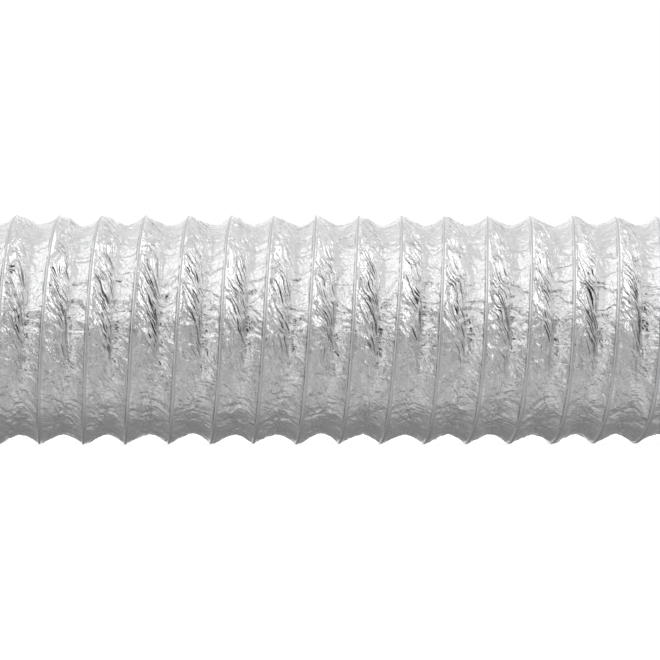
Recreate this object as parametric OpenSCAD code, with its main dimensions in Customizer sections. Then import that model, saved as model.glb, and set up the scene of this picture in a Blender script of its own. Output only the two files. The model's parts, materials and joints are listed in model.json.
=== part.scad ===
// Flexible air duct: a spring-steel wire helix sealed between two wound aluminium foil tapes,
// with a plain round cuff of foil at each end.
// The duct's axis runs along +X, its middle is at X = 0, and it lies on the plane Z = 0.

/* [Duct] */
// Inside diameter at the wire and at the cuffs
bore_d = 102; // [80:1:160]
// Distance along the axis from one turn of wire to the next, with the duct pulled out
pitch = 19.6; // [14:0.2:26]
// How far the foil sinks in halfway between two turns of wire
valley_depth = 4.8; // [3:0.2:6]

/* [Wire] */
// Diameter of the spring-steel wire
wire_d = 1.2; // [1:0.1:2]

/* [Foil] */
// Thickness of one tape with its glue
ply_t = 0.2; // [0.15:0.05:0.3]
// Free space between neighbouring pieces
clearance = 0.06; // [0.04:0.01:0.1]

/* [Cuffs] */
// Length of the plain round cuff at each end
cuff_len = 16; // [12:1:40]

/* [Hidden] */
TURNS = 18;
SPANS = TURNS - 1;
function numbered(name, k) = str(name, k < 10 ? "0" : "", k);

// Radii from the bore outwards: inner tape, wire, outer tape over the wire.
r_bore = bore_d / 2;
r_wire = r_bore + ply_t + clearance + wire_d / 2;
r_cover = r_wire + wire_d / 2 + clearance;
r_out = r_cover + ply_t;
r_inner_valley = r_out - valley_depth - 2 * ply_t - clearance;
axis_z = r_out;

// The helix is left-handed and starts at the top. An odd number of flats puts a flat at the bottom,
// for the duct to rest on.
FLATS = 23;
flat_deg = 360 / FLATS;
half_length = TURNS * pitch / 2;

// Along the axis, measured from the wire: the outer tape is level over the wire, then comes down on
// the inner tape at its foot.
cover_half = wire_d / 2 + clearance;
foot = 2.2;

// The end foils fill the wedge between a cuff and the nearest wire turn. At its narrow start the
// wedge is end_margin long, and its dip lies end_dip from the wire.
end_margin = 4;
end_dip = 3;

// Free angle at each end of a turn, so that one turn doesn't touch the next.
wire_gap_deg = 0.3;
tape_gap_deg = 0.1;

// Sides of the wire and of the cuffs, and how far the cuffs' bore is cut past their ends.
WIRE_SIDES = 6;
CUFF_SIDES = 128;
bore_cut = 1;

// Start of a wire turn, which is where it is at the top of the duct.
function turn_x(turn) = -half_length + (turn - 1) * pitch;

// Underside of the inner tape at distance s from a wire, when the valley is at distance dip.
function inner_r(s, dip, valley = r_inner_valley) = r_bore - (r_bore - valley) * s / dip;

// Underside of the outer tape where it lies on the inner tape.
function on_inner(r) = r + ply_t + clearance;

// Closed profile of a tape from the points of its underside.
function tape(line) = concat(
    [for (q = line) [q[0], q[1] + ply_t]],
    [for (j = [len(line) - 1:-1:0]) line[j]]
);

// A point at x along the axis and r from it, at an angle from the top towards +Y. A flat's middle is
// on the true circle, so its ends are a little outside it.
function on_duct(x, r, angle) =
    let (a = angle - flat_deg * floor(angle / flat_deg), r_here = r / cos(a - flat_deg / 2))
    [x, r_here * sin(angle), r_here * cos(angle)];

// Joins rings of points, all with the same number of points, into one closed solid.
module ring_solid(rings) {
    m = len(rings[0]);
    last = len(rings) - 1;
    points = [for (ring = rings) for (p = ring) p];
    sides = [
        for (i = [0:last - 1])
            for (j = [0:m - 1])
                let (a = i * m + j, b = i * m + (j + 1) % m)
                for (face = [[a, a + m, b + m], [a, b + m, b]]) face
    ];
    first_cap = [for (j = [0:m / 2 - 2]) [j, j + 1, m - 2 - j, m - 1 - j]];
    last_cap = [for (q = first_cap) [for (j = [3:-1:0]) last * m + q[j]]];
    polyhedron(points, concat(sides, first_cap, last_cap), convexity = 6);
}

// Angles of the rings of one turn, from the top round to the top again.
function turn_angles(gap) = concat([gap], [for (i = [1:FLATS - 1]) i * flat_deg], [360 - gap]);

// Sweeps a profile of [s, r] points along one helical turn.
module helical_turn(profile, turn, gap) {
    translate([0, 0, axis_z]) ring_solid([
        for (a = turn_angles(gap)) [for (q = profile) on_duct(turn_x(turn) + pitch * a / 360 + q[0], q[1], a)]
    ]);
}

// One turn of the spring-steel wire.
module wire_turn(turn) {
    r = wire_d / 2;
    profile = [for (j = [0:WIRE_SIDES - 1]) let (a = j * 360 / WIRE_SIDES) [-r * cos(a), r_wire + r * sin(a)]];
    color("slategray") helical_turn(profile, turn, wire_gap_deg);
}

// One turn of inner tape, from under one wire turn to under the next.
module inner_foil_turn(turn) {
    line = [[clearance, r_bore], [pitch / 2, r_inner_valley], [pitch - clearance, r_bore]];
    color("gainsboro") helical_turn(tape(line), turn, tape_gap_deg);
}

// One turn of outer tape, from over one wire turn to over the next.
module outer_foil_turn(turn) {
    dip = pitch / 2;
    half = [[clearance, r_cover], [cover_half, r_cover], [foot, on_inner(inner_r(foot, dip))]];
    line = concat(
        half,
        [[dip, on_inner(r_inner_valley)]],
        [for (j = [2:-1:0]) [pitch - half[j][0], half[j][1]]]
    );
    color("silver") helical_turn(tape(line), turn, tape_gap_deg);
}

// Wedge of tape between the left cuff and the first wire turn. line_at takes the share of the turn,
// from 0 to 1, and gives the points of the underside from the cuff to the wire.
module end_foil(line_at) {
    translate([0, 0, axis_z]) ring_solid([
        for (a = turn_angles(tape_gap_deg))
            [for (q = tape(line_at(a / 360))) on_duct(turn_x(1) + pitch * a / 360 + q[0], q[1], a)]
    ]);
}

// Distance from the wire to the dip of the wedge, and the inner tape's underside there.
function dip_at(share) = end_dip + (pitch / 2 - end_dip) * share;
function valley_at(share) = r_bore + (r_inner_valley - r_bore) * share;
function wedge_at(share) = end_margin + pitch * share;

module left_inner_end_foil() {
    color("gainsboro") end_foil(function (share) [
        [-wedge_at(share), r_bore],
        [-dip_at(share), valley_at(share)],
        [-clearance, r_bore]
    ]);
}

module left_outer_end_foil() {
    color("silver") end_foil(function (share) [
        [-wedge_at(share), on_inner(r_bore)],
        [-dip_at(share), on_inner(valley_at(share))],
        [-foot, on_inner(inner_r(foot, dip_at(share), valley_at(share)))],
        [-cover_half, r_cover],
        [-clearance, r_cover]
    ]);
}

// Both tapes pressed together into a plain round cuff.
module left_cuff() {
    wall = 2 * ply_t + clearance;
    color("lightgray") translate([turn_x(1) - end_margin - clearance - cuff_len, 0, axis_z])
        rotate([0, 90, 0]) difference() {
            cylinder(h = cuff_len, r = r_bore + wall, $fn = CUFF_SIDES);
            translate([0, 0, -bore_cut]) cylinder(h = cuff_len + 2 * bore_cut, r = r_bore, $fn = CUFF_SIDES);
        }
}

// A helix looks the same from its other end, so the right end is the left end turned round.
module turned_round() {
    rotate([0, 0, 180]) children();
}

left_cuff();
left_inner_end_foil();
left_outer_end_foil();
for (k = [1:TURNS]) {
    wire_turn(k);
}
for (k = [1:SPANS]) {
    inner_foil_turn(k);
    outer_foil_turn(k);
}
turned_round() left_inner_end_foil();  // right_inner_end_foil
turned_round() left_outer_end_foil();  // right_outer_end_foil
turned_round() left_cuff();  // right_cuff
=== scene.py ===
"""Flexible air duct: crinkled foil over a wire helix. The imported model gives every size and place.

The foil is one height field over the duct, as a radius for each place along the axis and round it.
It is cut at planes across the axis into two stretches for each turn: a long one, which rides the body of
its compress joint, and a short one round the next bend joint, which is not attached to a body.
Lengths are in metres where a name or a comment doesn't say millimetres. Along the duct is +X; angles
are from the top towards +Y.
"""
import json
import math

import bmesh
import bpy
import numpy as np
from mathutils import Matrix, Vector

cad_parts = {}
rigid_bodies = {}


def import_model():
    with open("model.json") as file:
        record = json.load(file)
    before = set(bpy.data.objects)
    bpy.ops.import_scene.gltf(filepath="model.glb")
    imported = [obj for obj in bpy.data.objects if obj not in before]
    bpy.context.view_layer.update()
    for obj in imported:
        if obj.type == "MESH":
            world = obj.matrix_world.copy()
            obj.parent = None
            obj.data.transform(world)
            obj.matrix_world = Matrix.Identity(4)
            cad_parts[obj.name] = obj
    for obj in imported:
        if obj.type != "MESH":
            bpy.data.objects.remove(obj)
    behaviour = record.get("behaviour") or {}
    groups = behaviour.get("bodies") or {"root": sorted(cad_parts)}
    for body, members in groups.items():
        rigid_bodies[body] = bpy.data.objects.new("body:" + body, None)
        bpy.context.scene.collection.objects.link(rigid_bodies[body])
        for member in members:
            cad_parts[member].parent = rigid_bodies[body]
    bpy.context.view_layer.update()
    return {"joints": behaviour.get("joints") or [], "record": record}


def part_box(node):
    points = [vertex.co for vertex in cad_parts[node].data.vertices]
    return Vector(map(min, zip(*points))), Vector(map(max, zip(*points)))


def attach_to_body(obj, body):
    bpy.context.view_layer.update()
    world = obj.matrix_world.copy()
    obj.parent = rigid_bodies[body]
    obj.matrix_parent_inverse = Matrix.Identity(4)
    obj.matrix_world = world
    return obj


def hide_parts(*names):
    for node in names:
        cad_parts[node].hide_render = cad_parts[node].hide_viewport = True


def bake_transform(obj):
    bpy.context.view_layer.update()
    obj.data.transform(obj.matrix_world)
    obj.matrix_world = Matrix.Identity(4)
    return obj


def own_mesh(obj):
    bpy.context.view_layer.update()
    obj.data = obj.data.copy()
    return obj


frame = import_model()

MM = 0.001

# The duct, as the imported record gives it.
JOINTS = {joint["name"]: joint for joint in frame["joints"]}
MOUNTS = {mount["name"]: mount for mount in frame["record"]["mounts"]}
BENDS = sorted(name for name in JOINTS if name.startswith("bend_"))
COMPRESSES = sorted(name for name in JOINTS if name.startswith("compress_"))
TURNS = len(BENDS) + 1
PITCH = JOINTS[BENDS[1]]["pos_m"][0] - JOINTS[BENDS[0]]["pos_m"][0]
X_FIRST = JOINTS[BENDS[0]]["pos_m"][0] - PITCH
AXIS_Z = MOUNTS["left_bore"]["pos_m"][2]
R_BORE = MOUNTS["left_bore"]["dims"]["r_mm"] * MM
R_OUT = AXIS_Z
R_CUFF = (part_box("left_cuff")[1].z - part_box("left_cuff")[0].z) / 2
CUFF_FAR, CUFF_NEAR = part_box("left_cuff")[0].x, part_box("left_cuff")[1].x

# Wire and tape. The bead is the outer tape where it lies over the wire.
WIRE_R = 0.6 * MM
WIRE_AT = R_OUT - 0.86 * MM
BEAD_R = R_OUT - WIRE_AT
WALL = 0.4 * MM

# The foil between two wires leaves them at the foot's radius. Its valley is a V at power 1 and rounder
# above that, and a lean over 1 puts the bottom right of the middle.
FOOT_R = R_OUT - 0.09 * MM
VALLEY_DEPTH = 4.5 * MM
VALLEY_POWER = 1.75
VALLEY_LEAN = 1.2

# Unevenness: how far a wire strays along the axis, how far it sinks in, and by what share of the depth
# the valleys differ.
STRAY = 0.5 * MM
SAG = 0.35 * MM
DEPTH_SPREAD = 0.1

# Long folds to the right of each wire: how far they reach, as a share of the pitch, and how strongly
# they bend round on the way.
FOLD_REACH = 0.66
FOLD_LEAN = 13.0

# Pleats among them: a seed, the gap between two pleats and how much one rises. Each has a wide flank
# and a steep one. All in millimetres.
PLEATS = ((20, 7.0, 0.45), (23, 4.4, 0.35), (26, 2.8, 0.25))
PLEAT_FLANK = 0.35

# Gap between the folds that run along the duct, on the left of each wire, in millimetres.
TILE_GAP = 10.5

# The long folds get painted shade in a band. It starts this many millimetres from the wire, low on the
# duct and high on it, and stops this far on, with a share of its start added.
BAND_START = (7.0, 1.0)
BAND_STOP = (8.2, 0.4)

# The share of the creases' painted shade that is left above and below the band's height, and how much
# of the crinkles' height is missing on the duct's underside and on its cuffs.
LEAST_CREASE_SHADE = 0.2
CALM_BELOW = 0.35
CALM_CUFF = 0.5

# The crinkles fade into the plain cuffs over this length.
END_FADE = 7 * MM

# The skin's grid: spare turns past each end of the helix, half the width of the bead's own stations, and
# where each turn's stations get coarser. Normals are worked out over the step.
SPARE_TURNS = 2
BEAD_HALF = 0.9 * MM
FINE_END = 0.58 * PITCH
NORMAL_STEP = 0.1 * MM

# Half the length of the stretch at each joint that bends. What is between two of them folds up.
BEND_HALF = 0.19 * PITCH


# Noise with folds --------------------------------------------------------------------------------

SHUFFLE = np.random.RandomState(7).permutation(4096).astype(np.int32)
HEIGHTS = (SHUFFLE / 2047.5 - 1).astype(np.float32)


def lattice(i, j, seed):
    """An even random value from -1 to 1 for each whole-number place."""
    row = SHUFFLE[(j.astype(np.int32) + 97 * seed) & 4095]
    return HEIGHTS[(i.astype(np.int32) + row) & 4095]


def facets(u, v, seed):
    """Flat triangles between random heights, which meet in sharp folds."""
    i, j = np.floor(u), np.floor(v)
    fu, fv = u - i, v - j
    h00, h11 = lattice(i, j, seed), lattice(i + 1, j + 1, seed)
    h10, h01 = lattice(i + 1, j, seed), lattice(i, j + 1, seed)
    low = h00 + fu * (h10 - h00) + fv * (h01 - h00)
    high = h11 + (1 - fu) * (h01 - h11) + (1 - fv) * (h10 - h11)
    return np.where(fu + fv < 1, low, high)


def soft(u, v, seed):
    """Smooth noise from -1 to 1."""
    i, j = np.floor(u), np.floor(v)
    fu, fv = u - i, v - j
    fu, fv = fu * fu * (3 - 2 * fu), fv * fv * (3 - 2 * fv)
    a = lattice(i, j, seed) * (1 - fu) + lattice(i + 1, j, seed) * fu
    b = lattice(i, j + 1, seed) * (1 - fu) + lattice(i + 1, j + 1, seed) * fu
    return a * (1 - fv) + b * fv


def wave(u, seed):
    """Smooth noise along a line, from -1 to 1."""
    return soft(u, np.zeros_like(u), seed)


def ramp(value, low, high):
    """0 below low, 1 above high and smooth between."""
    t = np.clip((value - low) / (high - low), 0, 1)
    return t * t * (3 - 2 * t)


# The foil ----------------------------------------------------------------------------------------

def turned(u, v, degrees):
    """The place (u, v) on axes turned by an angle."""
    c, s = math.cos(math.radians(degrees)), math.sin(math.radians(degrees))
    return u * c + v * s, v * c - u * s


def long_folds(s, ws, wl):
    """Folds pulled out of the wire on the left. They start aslant and bend round until they run along
    the middle of the valley, where they crowd together. Gives their height, how far each place is in
    the crease at a pleat's steep flank (0 to 1), which the material darkens as painted shade, and the
    place across the folds."""
    pitch = PITCH / MM
    reach = FOLD_REACH * pitch
    room = np.maximum(reach - ws, 1.0)
    across = FOLD_LEAN * np.log(room / reach) - wl
    crowd = 1 / np.hypot(1, FOLD_LEAN / room)
    height = crowd * (0.9 * facets(across / 8, ws / 5, 5) + 0.6 * facets(across / 3.7, ws / 3, 6))
    crease = np.zeros_like(ws)
    for seed, gap, rise in PLEATS:
        lane = np.floor(across / gap)
        place = across / gap - lane
        steep = np.minimum(PLEAT_FLANK / (gap * crowd), 0.5)
        profile = np.minimum(place / (1 - steep), (1 - place) / steep)
        strength = ramp(soft(ws / 3.5, lane, seed + 1), -0.2, 0.5) * ramp(s, 0, 4.5)
        height = height + rise * np.minimum(gap * crowd / 2.2, 1) * strength * profile
        off_flank = np.abs(place - 1 + 0.5 * steep) / (0.5 * steep)
        broken = ramp(strength * soft(ws / 2.5, lane, seed + 2), 0.10, 0.3)
        crease = np.maximum(crease, (1 - ramp(off_flank, 0.5, 1.5)) * broken)
    return height, crease, across


def tiled_foil(s, along, ws, wl):
    """Tiles between folds that run along the duct. Gives their height and how far each place is in a
    fold (0 to 1), which the material also darkens a little as painted shade. A fold's two sides differ
    in depth, so that it is a small step."""
    tile = (wl + 3 * wave(along / 30, 7)) / TILE_GAP + 0.02 * s
    to_fold = np.abs(tile - np.floor(tile) - 0.5) * TILE_GAP
    depth = 0.5 + 0.5 * lattice(np.floor(tile + 0.5), np.zeros_like(tile), 8)
    crease = depth * np.exp(-to_fold / 0.35)
    u, v = turned(ws, wl, 28)
    return -0.45 * crease + 0.5 * facets(u / 6, v / 7, 9), crease


def crinkles(s, along, start, stop):
    """The crinkles at distance s from the wire on the left and a distance along the tape, where painted
    shade on the folds is wanted from start to stop. These four, the height that it gives and all numbers
    in here are in millimetres.

    Gives the height, three shares from 0 to 1 (the creases' painted shade, in the band of painted shade
    on the folds and on the tiles), the place across the long folds and the distance from the wire, both
    as the foil is warped.
    """
    pitch = PITCH / MM
    s, along = s.astype(np.float32), along.astype(np.float32)
    warp_s = 0.9 * soft(s / 6, along / 9, 1) + 0.3 * soft(s / 2.4, along / 3.5, 2)
    warp_l = 2.8 * soft(s / 6, along / 8, 3) + 0.7 * soft(s / 2.2, along / 3, 4)
    ws, wl = s + warp_s, along + warp_l
    left_half = 1 - ramp(s, 0.50 * pitch, 0.62 * pitch)
    right_half = 1 - left_half
    folds, crease, across = long_folds(s, ws, wl)
    tiles, tile_crease = tiled_foil(s, along, ws, wl)
    u, v = turned(ws, wl, 50)
    streaks = 0.35 * facets(u / 1.5, v / 7, 16) * ramp(soft(s / 9, along / 14, 17), 0.0, 0.6)

    # The broken line along the middle of the valley, where the tapes' edges are, and the gathers at it.
    middle = 0.55 * pitch + 0.9 * wave(along / 13, 10) + 0.3 * wave(along / 2.5, 14)
    broken = ramp(wave(along / 8, 11), -0.4, 0.3)
    line = np.exp(-np.abs(s - middle) / 0.4) * broken
    gather = 0.3 * facets(ws / 1.5, wl / 9, 30) * np.exp(-(((s - middle) / 2.2) ** 2))

    # The small crinkles that are everywhere.
    u, v = turned(ws, wl, 35)
    fine = 0.32 * facets(u / 3.1, v / 3.1, 12)
    u, v = turned(ws, wl, -20)
    fine = fine + 0.17 * facets(u / 1.4, v / 1.4, 13)

    height = left_half * (folds + 0.6 * streaks) + right_half * (tiles + streaks)
    height = height - 0.1 * line + gather + fine
    band = left_half * ramp(s, start - 2, start + 1.5) * (1 - ramp(s, stop - 1, stop + 1.5))
    # Painted shade: the pleats' creases inside the band, and more faintly the tiles' folds.
    crease = crease * band + 0.3 * tile_crease * right_half

    # All of it stops short of the wires.
    clear = ramp(np.minimum(s, pitch - s), 0.3, 1.6)
    return height * clear, crease * clear, band * clear, right_half * clear, across, ws


def wire_place(turn, psi):
    """Where a turn of the wire is at an angle: its place along the axis and how far it is sunk in. The
    turns are a little uneven."""
    angle = psi + 2 * math.pi * turn
    along = (angle + 2 * math.pi * SPARE_TURNS) * R_OUT / MM
    strayed = STRAY * wave(along / 60, 31)
    sunk = SAG * (0.5 - 0.5 * wave(along / 45, 32))
    return X_FIRST + PITCH * angle / (2 * math.pi) + strayed, sunk


def foil_surface(x, psi, layer):
    """Radius of the foil's outer or inner face, and two triples for the material. The first is the
    painted shade of the creases, how far each place is on the bead and the painted shade of the band
    of folds (0 to 1). The second is the place across the long folds and the distance from the wire, in
    millimetres, and how far it is on the tiles (0 to 1)."""
    # The span between two turns of the wire that each place is in, and how far over it the place is.
    turn = psi / (2 * math.pi)
    span = np.floor((x - X_FIRST) / PITCH - turn)
    span = span - (x < wire_place(span, psi)[0])
    span = span + (x >= wire_place(span + 1, psi)[0])
    left_x, left_sunk = wire_place(span, psi)
    right_x, right_sunk = wire_place(span + 1, psi)
    over = (x - left_x) / (right_x - left_x)
    s = over * PITCH
    sunk_in = left_sunk + (right_sunk - left_sunk) * over

    # The crinkles. The band of painted shade on the folds is nearer to the wire high on the duct, and the
    # painted shade fades out above and below.
    along = (psi + 2 * math.pi * (span + SPARE_TURNS)) * R_OUT
    level = np.cos(psi)
    start = BAND_START[0] + (BAND_START[1] - BAND_START[0]) * ramp(level, -0.2, 0.75)
    stop = BAND_STOP[0] + BAND_STOP[1] * start
    height, crease, band, tiled, across, ws = crinkles(s / MM, along / MM, start, stop)
    # Painted shade in the creases: full on the duct's sides, from the axis' height a little upwards, and
    # weaker towards its top and its underside.
    lit = ramp(level, -0.4, -0.05) * (1 - ramp(level, 0.45, 0.85))
    dark = LEAST_CREASE_SHADE + (1 - LEAST_CREASE_SHADE) * lit
    height = height * (1 - CALM_BELOW * ramp(-level, 0.3, 0.75)) * MM

    # The valley, which gets shallow in the wedge at each end of the helix.
    ends = ramp(span + 1 + turn, 0, 1) * (1 - ramp(span + turn - (TURNS - 1), 0, 1))
    dip = 1 - np.abs(2 * (s / PITCH) ** VALLEY_LEAN - 1) ** VALLEY_POWER
    deep = ends * VALLEY_DEPTH * (1 + DEPTH_SPREAD * wave(along / (45 * MM), 33))
    radius = FOOT_R - sunk_in - deep * dip + height

    # The bead outside, and the level strip under the wire inside.
    wire = span + np.round(over)
    from_start, to_end = wire + turn, TURNS - (wire + turn)
    bead_on = ramp(from_start, 0, 0.02) * ramp(to_end, 0, 0.02)
    off_wire = np.minimum(s, PITCH - s)
    on_bead = bead_on * (1 - ramp(off_wire, 0.2 * MM, 0.75 * MM))
    if layer == "outer":
        bead = WIRE_AT - sunk_in + np.sqrt(np.maximum(BEAD_R**2 - off_wire**2, 0))
        radius = np.where(off_wire < BEAD_R, np.maximum(radius, bead * bead_on), radius)
        plain = R_CUFF
    else:
        under = ramp(off_wire, 0, 2.5 * MM)
        radius = radius - WALL - (1 - under) * (FOOT_R - WALL - R_BORE)
        plain = R_BORE

    near_end = np.minimum(x - CUFF_NEAR, -CUFF_NEAR - x)
    share = ramp(near_end, 0, END_FADE)
    radius = plain * (1 - share) + radius * share + height * (1 - share) * (1 - CALM_CUFF)
    return radius, (crease * dark, on_bead, band * dark), (across, ws, tiled)


class Skin:
    """A helical grid over the duct: columns round it and stations along the helix, with the planes
    across the axis where it is cut. Each cut runs through the grid's own points."""

    def __init__(self, layer, columns, spacing, bead_steps):
        self.layer, self.columns = layer, columns
        bead = np.linspace(-BEAD_HALF, BEAD_HALF, bead_steps + 1)
        near = np.linspace(BEAD_HALF, FINE_END, round((FINE_END - BEAD_HALF) / spacing) + 1)[1:]
        far_count = round((PITCH - BEAD_HALF - FINE_END) / (2 * spacing))
        far = np.linspace(FINE_END, PITCH - BEAD_HALF, far_count + 1)[1:-1]
        one = np.concatenate([bead, near, far])
        turns = range(-SPARE_TURNS, TURNS + SPARE_TURNS)
        self.stations = np.concatenate([turn * PITCH + one for turn in turns])
        self.per_turn = len(one)
        psi = np.arange(columns + 1) * 2 * math.pi / columns
        self.psi = np.repeat(psi[:, None], len(self.stations), axis=1)
        span = np.floor(self.stations / PITCH)
        over = self.stations / PITCH - span
        left, right = wire_place(span, self.psi)[0], wire_place(span + 1, self.psi)[0]
        self.x = left + (right - left) * over
        self.cuts = {}

    def cut(self, plane):
        """Moves each column's nearest point on to the plane."""
        nearest = np.abs(self.x - plane).argmin(axis=1)
        nearest[-1] = nearest[0] - self.per_turn
        self.x[np.arange(self.columns + 1), nearest] = plane
        self.cuts[plane] = nearest

    def shape(self):
        """Works out the points, their normals and what the material needs, once every cut is made."""
        step = NORMAL_STEP
        r, shade_and_rub, lay = foil_surface(self.x, self.psi, self.layer)
        slope_x = (foil_surface(self.x + step, self.psi, self.layer)[0] - r) / step
        slope_psi = (foil_surface(self.x, self.psi + step / R_OUT, self.layer)[0] - r) / (step / R_OUT)
        sin, cos = np.sin(self.psi), np.cos(self.psi)
        self.points = np.stack([self.x, r * sin, AXIS_Z + r * cos], axis=-1)
        side = slope_psi / r
        normals = np.stack([-slope_x, sin - side * cos, cos + side * sin], axis=-1)
        normals /= np.linalg.norm(normals, axis=-1, keepdims=True)
        self.normals = normals if self.layer == "outer" else -normals
        # The painted shade of the creases and of the band, and the rubbed line on the bead, for the
        # material.
        self.shade_and_rub = np.stack(shade_and_rub, axis=-1)
        self.lay = np.stack(lay, axis=-1)

    def piece(self, name, low, high):
        """The stretch of the skin between two cuts, as an object."""
        lo, hi = self.cuts[low][:, None], self.cuts[high][:, None]
        m = np.arange(len(self.stations))[None, :]
        inside = (m >= lo) & (m <= hi)
        a, b = inside[:-1, :-1], inside[1:, :-1]
        c, d = inside[1:, 1:], inside[:-1, 1:]
        ids = np.arange(inside.size).reshape(inside.shape)
        ia, ib, ic, id_ = ids[:-1, :-1], ids[1:, :-1], ids[1:, 1:], ids[:-1, 1:]
        first = np.stack([ia, ib, id_], axis=-1)[a & b & d]
        second = np.stack([ib, ic, id_], axis=-1)[b & c & d]
        faces = np.concatenate([first, second])
        if self.layer == "outer":
            faces = faces[:, ::-1]

        # The last column is the first one again, one turn on.
        last = self.columns * inside.shape[1]
        seam = faces >= last
        faces[seam] = faces[seam] - last + self.per_turn

        used, faces = np.unique(faces, return_inverse=True)
        points, normals = self.points.reshape(-1, 3)[used], self.normals.reshape(-1, 3)[used]
        paint = {"shade_and_rub": self.shade_and_rub.reshape(-1, 3)[used], "lay": self.lay.reshape(-1, 3)[used]}
        return sheet(name, points, faces.reshape(-1, 3), normals, paint)


def sheet(name, points, faces, normals=None, paint=None):
    """A mesh object from arrays, shaded smooth. For the material, each point keeps its place at rest in
    millimetres and the vectors in paint, by name."""
    mesh = bpy.data.meshes.new(name)
    mesh.vertices.add(len(points))
    mesh.vertices.foreach_set("co", points.astype(np.float32).ravel())
    size = faces.shape[1]
    mesh.loops.add(faces.size)
    mesh.loops.foreach_set("vertex_index", faces.astype(np.int32).ravel())
    mesh.polygons.add(len(faces))
    mesh.polygons.foreach_set("loop_start", np.arange(0, faces.size, size, dtype=np.int32))
    mesh.polygons.foreach_set("loop_total", np.full(len(faces), size, dtype=np.int32))
    mesh.update(calc_edges=True)
    mesh.validate()
    mesh.shade_smooth()
    if normals is not None:
        mesh.normals_split_custom_set_from_vertices(normals.tolist())
    for key, values in {"rest": points / MM, **(paint or {})}.items():
        attribute = mesh.attributes.new(key, "FLOAT_VECTOR", "POINT")
        attribute.data.foreach_set("vector", values.astype(np.float32).ravel())
    piece = bpy.data.objects.new(name, mesh)
    bpy.context.scene.collection.objects.link(piece)
    return piece


# Materials ---------------------------------------------------------------------------------------

def node(tree, kind, **values):
    """A shader node with its properties and its sockets' values set."""
    made = tree.nodes.new(kind)
    for key, value in values.items():
        if key in made.inputs:
            made.inputs[key].default_value = value
        else:
            setattr(made, key, value)
    return made


def shade_strokes(tree, lay, mask, size, low, high, most):
    """Short strokes of painted shade made from noise over the lay, scaled by size. There are more of them
    where the mask is on. Gives the noise and the strokes, which go from 0 to most."""
    spread = node(tree, "ShaderNodeVectorMath", operation="MULTIPLY")
    spread.inputs[1].default_value = size
    noise = node(tree, "ShaderNodeTexNoise", Scale=1.0, Detail=2.0, Roughness=0.5)
    masked = node(tree, "ShaderNodeMath", operation="MULTIPLY_ADD")
    masked.inputs[1].default_value = 0.3
    sharp = node(tree, "ShaderNodeMapRange", interpolation_type="SMOOTHSTEP")
    sharp.inputs["From Min"].default_value = low
    sharp.inputs["From Max"].default_value = high
    sharp.inputs["To Max"].default_value = most
    tree.links.new(lay, spread.inputs[0])
    tree.links.new(spread.outputs["Vector"], noise.inputs["Vector"])
    tree.links.new(mask, masked.inputs[0])
    tree.links.new(noise.outputs["Fac"], masked.inputs[2])
    tree.links.new(masked.outputs["Value"], sharp.inputs["Value"])
    return noise.outputs["Fac"], sharp.outputs["Result"]


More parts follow.
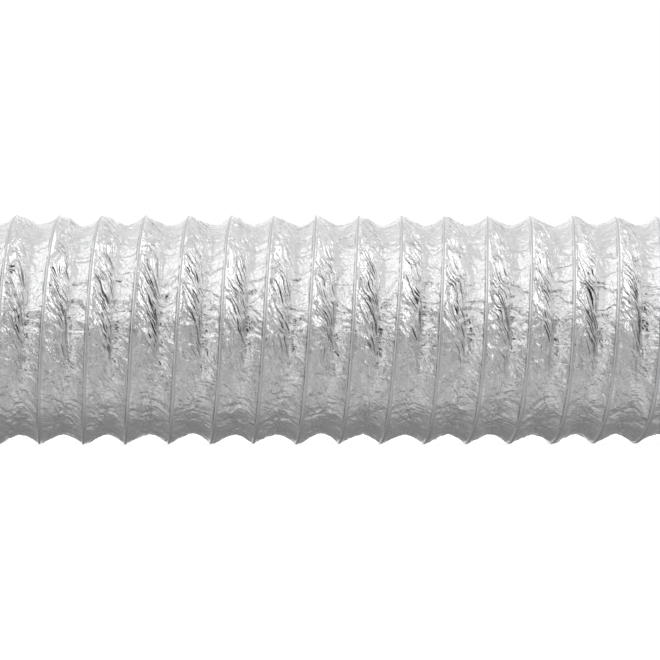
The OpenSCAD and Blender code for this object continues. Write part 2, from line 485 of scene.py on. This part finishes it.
def foil_material():
    """Bright aluminium laminate: crinkles too small for the mesh, painted shade in the creases and in
    short dark strokes, and a duller rubbed line over each wire."""
    material = bpy.data.materials.new("aluminium_foil")
    material.use_nodes = True
    tree = material.node_tree
    link = tree.links.new
    shader = tree.nodes["Principled BSDF"]
    shader.inputs["Metallic"].default_value = 1.0
    place = node(tree, "ShaderNodeAttribute", attribute_name="rest")
    shade_and_rub = node(tree, "ShaderNodeAttribute", attribute_name="shade_and_rub")
    lay = node(tree, "ShaderNodeAttribute", attribute_name="lay")
    mark, laid = node(tree, "ShaderNodeSeparateXYZ"), node(tree, "ShaderNodeSeparateXYZ")
    link(shade_and_rub.outputs["Vector"], mark.inputs["Vector"])
    link(lay.outputs["Vector"], laid.inputs["Vector"])
    # The painted shade of the creases, the rubbed line on the bead and the band of painted shade.
    crease_shade, on_bead, in_band = mark.outputs["X"], mark.outputs["Y"], mark.outputs["Z"]
    on_tiles = laid.outputs["Z"]

    # Colour and gloss.
    cloud = node(tree, "ShaderNodeTexNoise", Scale=0.25, Detail=3.0, Roughness=0.55)
    tone = node(tree, "ShaderNodeValToRGB")
    tone.color_ramp.elements[0].position, tone.color_ramp.elements[1].position = 0.3, 0.7
    tone.color_ramp.elements[0].color = (0.84, 0.843, 0.846, 1)
    tone.color_ramp.elements[1].color = (0.94, 0.942, 0.944, 1)
    # Painted shade: the creases and the strokes are mixed nearly to black.
    shaded_creases = node(tree, "ShaderNodeMix", data_type="RGBA")
    shaded_creases.inputs["B"].default_value = (0.05, 0.05, 0.051, 1)
    shaded_strokes = node(tree, "ShaderNodeMix", data_type="RGBA")
    shaded_strokes.inputs["B"].default_value = (0.03, 0.03, 0.031, 1)
    rubbed = node(tree, "ShaderNodeMix", data_type="RGBA")
    rubbed.inputs["B"].default_value = (0.74, 0.743, 0.746, 1)
    gloss = node(tree, "ShaderNodeMapRange")
    gloss.inputs["To Min"].default_value = 0.06
    gloss.inputs["To Max"].default_value = 0.14
    dulled = node(tree, "ShaderNodeMath", operation="MULTIPLY_ADD")
    dulled.inputs[1].default_value = 0.3
    link(place.outputs["Vector"], cloud.inputs["Vector"])
    link(cloud.outputs["Fac"], tone.inputs["Fac"])
    link(tone.outputs["Color"], shaded_creases.inputs["A"])
    link(crease_shade, shaded_creases.inputs["Factor"])
    link(shaded_creases.outputs["Result"], shaded_strokes.inputs["A"])
    link(shaded_strokes.outputs["Result"], rubbed.inputs["A"])
    link(on_bead, rubbed.inputs["Factor"])
    link(rubbed.outputs["Result"], shader.inputs["Base Color"])
    link(cloud.outputs["Fac"], gloss.inputs["Value"])
    link(on_bead, dulled.inputs[0])
    link(gloss.outputs["Result"], dulled.inputs[2])
    link(dulled.outputs["Value"], shader.inputs["Roughness"])

    # Painted shade: short dark strokes along the long folds, and fainter ones along the duct on the
    # tiles.
    noise, dark = shade_strokes(tree, lay.outputs["Vector"], in_band, (1 / 1.45, 1 / 4.5, 0), 0.885, 0.905, 1.0)
    _, faint = shade_strokes(tree, lay.outputs["Vector"], on_tiles, (1 / 3.2, 1 / 14, 0), 0.97, 1.04, 0.4)
    both = node(tree, "ShaderNodeMath", operation="MAXIMUM")
    relief = node(tree, "ShaderNodeMath", operation="MULTIPLY")
    link(dark, both.inputs[0])
    link(faint, both.inputs[1])
    link(both.outputs["Value"], shaded_strokes.inputs["Factor"])
    link(noise, relief.inputs[0])
    link(in_band, relief.inputs[1])

    # Relief: a net of thin creases between small flats, finer grains, and ridges beside the strokes.
    bend = node(tree, "ShaderNodeTexNoise", Scale=0.6, Detail=2.0)
    bent = node(tree, "ShaderNodeVectorMath", operation="MULTIPLY_ADD")
    bent.inputs[1].default_value = (2.0, 2.0, 2.0)
    cells = node(tree, "ShaderNodeTexVoronoi", Scale=0.42, feature="DISTANCE_TO_EDGE")
    net = node(tree, "ShaderNodeMapRange")
    net.inputs["From Max"].default_value = 0.12
    grains = node(tree, "ShaderNodeTexVoronoi", Scale=1.1)
    large = node(tree, "ShaderNodeBump", Strength=1.0, Distance=0.00006)
    small = node(tree, "ShaderNodeBump", Strength=1.0, Distance=0.00001)
    ridge = node(tree, "ShaderNodeBump", Strength=1.0, Distance=0.0004)
    link(place.outputs["Vector"], bend.inputs["Vector"])
    link(bend.outputs["Color"], bent.inputs[0])
    link(place.outputs["Vector"], bent.inputs[2])
    link(bent.outputs["Vector"], cells.inputs["Vector"])
    link(bent.outputs["Vector"], grains.inputs["Vector"])
    link(cells.outputs["Distance"], net.inputs["Value"])
    link(net.outputs["Result"], large.inputs["Height"])
    link(grains.outputs["Distance"], small.inputs["Height"])
    link(large.outputs["Normal"], small.inputs["Normal"])
    link(small.outputs["Normal"], ridge.inputs["Normal"])
    link(relief.outputs["Value"], ridge.inputs["Height"])
    link(ridge.outputs["Normal"], shader.inputs["Normal"])
    return material


def steel_material():
    """Drawn spring steel with faint stains."""
    material = bpy.data.materials.new("spring_steel")
    material.use_nodes = True
    tree = material.node_tree
    shader = tree.nodes["Principled BSDF"]
    shader.inputs["Metallic"].default_value = 1.0
    place = node(tree, "ShaderNodeAttribute", attribute_name="rest")
    stain = node(tree, "ShaderNodeTexNoise", Scale=0.6, Detail=4.0)
    tone = node(tree, "ShaderNodeValToRGB")
    tone.color_ramp.elements[0].color = (0.36, 0.37, 0.38, 1)
    tone.color_ramp.elements[1].color = (0.58, 0.585, 0.59, 1)
    gloss = node(tree, "ShaderNodeMapRange")
    gloss.inputs["To Min"].default_value = 0.25
    gloss.inputs["To Max"].default_value = 0.45
    link = tree.links.new
    link(place.outputs["Vector"], stain.inputs["Vector"])
    link(stain.outputs["Fac"], tone.inputs["Fac"])
    link(tone.outputs["Color"], shader.inputs["Base Color"])
    link(stain.outputs["Fac"], gloss.inputs["Value"])
    link(gloss.outputs["Result"], shader.inputs["Roughness"])
    return material


FOIL = foil_material()
STEEL = steel_material()


# Building ----------------------------------------------------------------------------------------

# Columns of points round the outer foil and the cuffs, and how far apart the stations are. The inner
# foil has half as many columns.
COLUMNS = 800
OUTER_SPACING = 0.26 * MM
INNER_SPACING = 1.1 * MM
CUFF_SPACING = 0.5 * MM

# Sides of the wire, its rings in a turn, and the spare angle past each plane that it is cut at.
WIRE_SIDES = 10
WIRE_RINGS = 90
WIRE_SPARE = 0.3


def turn_x(turn):
    """Start of a wire turn, which is where it is at the top of the duct."""
    return X_FIRST + (turn - 1) * PITCH


def stretches():
    """Each stretch of the duct: its label, its two planes and the CAD turn that it stands for."""
    made = [("left_end", CUFF_NEAR, turn_x(1) + BEND_HALF, 0)]
    for k in range(1, TURNS):
        made.append((f"{k:02d}_fold", turn_x(k) + BEND_HALF, turn_x(k + 1) - BEND_HALF, k))
        made.append((f"{k:02d}_bend", turn_x(k + 1) - BEND_HALF, turn_x(k + 1) + BEND_HALF, k))
    made.append(("right_end", turn_x(TURNS) + BEND_HALF, -CUFF_NEAR, TURNS))
    return made


def attach(piece, label, turn):
    """Attaches a piece of a stretch: an end to its end body, and a long stretch to the parent body of its
    compress joint, with a mesh of its own. A short stretch round a bend only has its place baked into
    its mesh.
    """
    if label in ("left_end", "right_end"):
        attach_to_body(piece, label)
        return
    compress, bend = JOINTS[COMPRESSES[turn - 1]], JOINTS[BENDS[turn - 1]]
    if label.endswith("fold"):
        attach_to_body(piece, compress["parent"])
        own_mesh(piece)
    else:
        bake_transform(piece)


def make_foil(layer, columns, spacing, bead_steps):
    """One skin of foil, cut into its stretches."""
    skin = Skin(layer, columns, spacing, bead_steps)
    parts = stretches()
    for plane in [parts[0][1]] + [part[2] for part in parts]:
        skin.cut(plane)
    skin.shape()
    for label, low, high, turn in parts:
        piece = skin.piece(f"{layer}_foil_{label}", low, high)
        piece.data.materials.append(FOIL)
        if label in ("left_end", "right_end"):
            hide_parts(label.replace("_end", f"_{layer}_end_foil"))
        else:
            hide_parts(f"{layer}_foil_turn_{turn:02d}")
        attach(piece, label, turn)


def tube(name, start, stop):
    """The wire between two angles of the helix, counted on from its start, as a tube with open ends."""
    rings = max(3, round((stop - start) / (2 * math.pi) * WIRE_RINGS)) + 1
    turn = np.linspace(start, stop, rings)[:, None]
    round_it = np.arange(WIRE_SIDES)[None, :] * 2 * math.pi / WIRE_SIDES
    lead = PITCH / (2 * math.pi * WIRE_AT)
    centre, sunk = wire_place(0, turn)
    radius = WIRE_AT - sunk + WIRE_R * np.sin(round_it)
    x = centre + WIRE_R * np.cos(round_it)
    psi = turn - lead * WIRE_R * np.cos(round_it) / WIRE_AT
    points = np.stack([x, radius * np.sin(psi), AXIS_Z + radius * np.cos(psi)], axis=-1).reshape(-1, 3)
    i, j = np.meshgrid(np.arange(rings - 1), np.arange(WIRE_SIDES), indexing="ij")
    a, b = i * WIRE_SIDES + j, i * WIRE_SIDES + (j + 1) % WIRE_SIDES
    faces = np.stack([a, b, b + WIRE_SIDES, a + WIRE_SIDES], axis=-1).reshape(-1, 4)
    return sheet(name, points, faces)


def trim(piece, low, high):
    """Cuts a tube off at two planes across the axis and closes its ends."""
    mesh = bmesh.new()
    mesh.from_mesh(piece.data)
    for plane, outwards in ((low, -1), (high, 1)):
        geometry = mesh.verts[:] + mesh.edges[:] + mesh.faces[:]
        bmesh.ops.bisect_plane(
            mesh, geom=geometry, plane_co=(plane, 0, 0), plane_no=(outwards, 0, 0), clear_outer=True
        )
    bmesh.ops.holes_fill(mesh, edges=[edge for edge in mesh.edges if edge.is_boundary], sides=0)
    bmesh.ops.recalc_face_normals(mesh, faces=mesh.faces[:])
    mesh.to_mesh(piece.data)
    mesh.free()


def make_wire():
    """The wire, cut into the same stretches as the foil."""
    whole = TURNS * 2 * math.pi
    for label, low, high, turn in stretches():
        start, stop = ((plane - X_FIRST) / PITCH * 2 * math.pi for plane in (low, high))
        piece = tube(f"wire_{label}", max(start - WIRE_SPARE, 0), min(stop + WIRE_SPARE, whole))
        trim(piece, low, high)
        piece.data.materials.append(STEEL)
        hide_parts(f"wire_turn_{max(turn, 1):02d}")
        attach(piece, label, turn)


def make_cuff(side, far, near, columns):
    """A plain cuff of both tapes: an outer and an inner face, joined at the rims."""
    psi = np.arange(columns) * 2 * math.pi / columns
    x = np.linspace(far, near, round(abs(near - far) / CUFF_SPACING) + 1)
    grid_x, grid_psi = np.meshgrid(x, psi)
    outer, inner = (foil_surface(grid_x, grid_psi, layer)[0] for layer in ("outer", "inner"))
    radius = np.concatenate([outer, inner[:, ::-1]], axis=1)
    along = np.concatenate([grid_x, grid_x[:, ::-1]], axis=1)
    around = np.concatenate([grid_psi, grid_psi], axis=1)
    points = np.stack([along, radius * np.sin(around), AXIS_Z + radius * np.cos(around)], axis=-1)
    count = points.shape[1]
    i, j = np.meshgrid(np.arange(columns), np.arange(count), indexing="ij")
    a, b = i * count + j, (i + 1) % columns * count + j
    c, d = (i + 1) % columns * count + (j + 1) % count, i * count + (j + 1) % count
    faces = np.stack([a, b, c, d], axis=-1).reshape(-1, 4)
    if near > far:
        faces = faces[:, ::-1]
    cuff = sheet(f"cuff_{side}", points.reshape(-1, 3), faces)
    cuff.data.materials.append(FOIL)
    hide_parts(f"{side}_cuff")
    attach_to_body(cuff, f"{side}_end")


make_foil("outer", COLUMNS, OUTER_SPACING, bead_steps=6)
make_foil("inner", COLUMNS // 2, INNER_SPACING, bead_steps=2)
make_wire()
make_cuff("left", CUFF_FAR, CUFF_NEAR, COLUMNS)
make_cuff("right", -CUFF_FAR, -CUFF_NEAR, COLUMNS)


# Floor, light and camera -------------------------------------------------------------------------

def make_floor():
    """A pale floor under the duct, which the foil doesn't mirror."""
    size = 4.0
    corners = [(-size, -size, 0), (size, -size, 0), (size, size, 0), (-size, size, 0)]
    mesh = bpy.data.meshes.new("floor")
    mesh.from_pydata(corners, [], [(0, 1, 2, 3)])
    floor = bpy.data.objects.new("floor", mesh)
    bpy.context.scene.collection.objects.link(floor)
    material = bpy.data.materials.new("pale_floor")
    material.use_nodes = True
    shader = material.node_tree.nodes["Principled BSDF"]
    shader.inputs["Base Color"].default_value = (0.6, 0.6, 0.6, 1)
    shader.inputs["Roughness"].default_value = 0.8
    shader.inputs["Emission Color"].default_value = (1, 1, 1, 1)
    shader.inputs["Emission Strength"].default_value = 0.8
    mesh.materials.append(material)
    floor.visible_glossy = False


# The surroundings' brightness at a few heights, from straight down (0) over level (0.5) to straight up.
HEIGHT_TONES = [(0.0, 0.7), (0.3, 0.27), (0.47, 0.48), (0.52, 0.25), (0.65, 0.9), (1.0, 0.69)]

# Soft boxes and dark gaps before them: towards where, the angles in degrees that each is fully on
# within and gone beyond, and how bright. A patch covers this share of what is behind it.
PATCHES = [
    ((0.96, 0.15, 0.26), 26, 42, 1.8),
    ((-0.80, 0.0, 0.60), 22, 36, 1.12),
    ((0.0, 1.0, 0.12), 14, 22, 1.15),
    ((-0.28, -0.96, 0.0), 10, 22, 0.03),
    ((0.60, -0.60, 0.52), 7, 23, 0.3),
    ((-0.66, -0.70, -0.30), 13, 27, 0.78),
    ((0.93, -0.25, -0.27), 16, 38, 0.46),
    ((0.0, 0.52, -0.86), 22, 51, 0.21),
]
PATCH_SHARE = 0.9

# The camera: how far from the duct, how far it is turned to the duct's left (degrees), what it looks at
# along the axis, and its focal length on a sensor this wide (millimetres).
CAMERA_DISTANCE = 1.325
CAMERA_TURN = 2
CAMERA_AIM = 6 * MM
CAMERA_LENS = 156.8
CAMERA_SENSOR = 36


def make_world():
    """Studio surroundings: bright above and grey below, with the patches. The camera itself sees plain
    white."""
    world = bpy.data.worlds.new("studio")
    bpy.context.scene.world = world
    world.use_nodes = True
    tree = world.node_tree
    tree.nodes.clear()
    link = tree.links.new
    coord = node(tree, "ShaderNodeTexCoord")
    place = node(tree, "ShaderNodeSeparateXYZ")
    scale = node(tree, "ShaderNodeMapRange")
    scale.inputs["From Min"].default_value, scale.inputs["From Max"].default_value = -1, 1
    tone = node(tree, "ShaderNodeValToRGB")
    elements = tone.color_ramp.elements
    while len(elements) < len(HEIGHT_TONES):
        elements.new(0.5)
    for element, (position, value) in zip(elements, HEIGHT_TONES):
        element.position = position
        element.color = (value, value, value, 1)
    link(coord.outputs["Generated"], place.inputs["Vector"])
    link(place.outputs["Z"], scale.inputs["Value"])
    link(scale.outputs["Result"], tone.inputs["Fac"])
    lit = tone.outputs["Color"]
    for centre, near, far, value in PATCHES:
        towards = node(tree, "ShaderNodeVectorMath", operation="DOT_PRODUCT")
        towards.inputs[1].default_value = Vector(centre).normalized()
        patch = node(tree, "ShaderNodeMapRange", interpolation_type="SMOOTHSTEP")
        patch.inputs["From Min"].default_value = math.cos(math.radians(far))
        patch.inputs["From Max"].default_value = math.cos(math.radians(near))
        patch.inputs["To Max"].default_value = PATCH_SHARE
        blend = node(tree, "ShaderNodeMix", data_type="RGBA")
        blend.inputs["B"].default_value = (value, value, value, 1)
        link(coord.outputs["Generated"], towards.inputs[0])
        link(towards.outputs["Value"], patch.inputs["Value"])
        link(patch.outputs["Result"], blend.inputs["Factor"])
        link(lit, blend.inputs["A"])
        lit = blend.outputs["Result"]
    surround = node(tree, "ShaderNodeBackground")
    white = node(tree, "ShaderNodeBackground", Strength=1.0)
    white.inputs["Color"].default_value = (1, 1, 1, 1)
    path = node(tree, "ShaderNodeLightPath")
    mix = node(tree, "ShaderNodeMixShader")
    out = node(tree, "ShaderNodeOutputWorld")
    link(lit, surround.inputs["Color"])
    link(path.outputs["Is Camera Ray"], mix.inputs["Fac"])
    link(surround.outputs["Background"], mix.inputs[1])
    link(white.outputs["Background"], mix.inputs[2])
    link(mix.outputs["Shader"], out.inputs["Surface"])


def make_camera():
    """Level with the duct's axis."""
    turn = math.radians(CAMERA_TURN)
    aim = Vector((CAMERA_AIM, 0, AXIS_Z))
    data = bpy.data.cameras.new("camera")
    data.sensor_width = CAMERA_SENSOR
    data.lens = CAMERA_LENS
    camera = bpy.data.objects.new("camera", data)
    bpy.context.scene.collection.objects.link(camera)
    camera.location = aim + CAMERA_DISTANCE * Vector((-math.sin(turn), -math.cos(turn), 0))
    camera.rotation_mode = "QUATERNION"
    camera.rotation_quaternion = (aim - camera.location).to_track_quat("-Z", "Y")
    bpy.context.scene.camera = camera


make_floor()
make_world()
make_camera()
bpy.context.scene.view_settings.view_transform = "Standard"
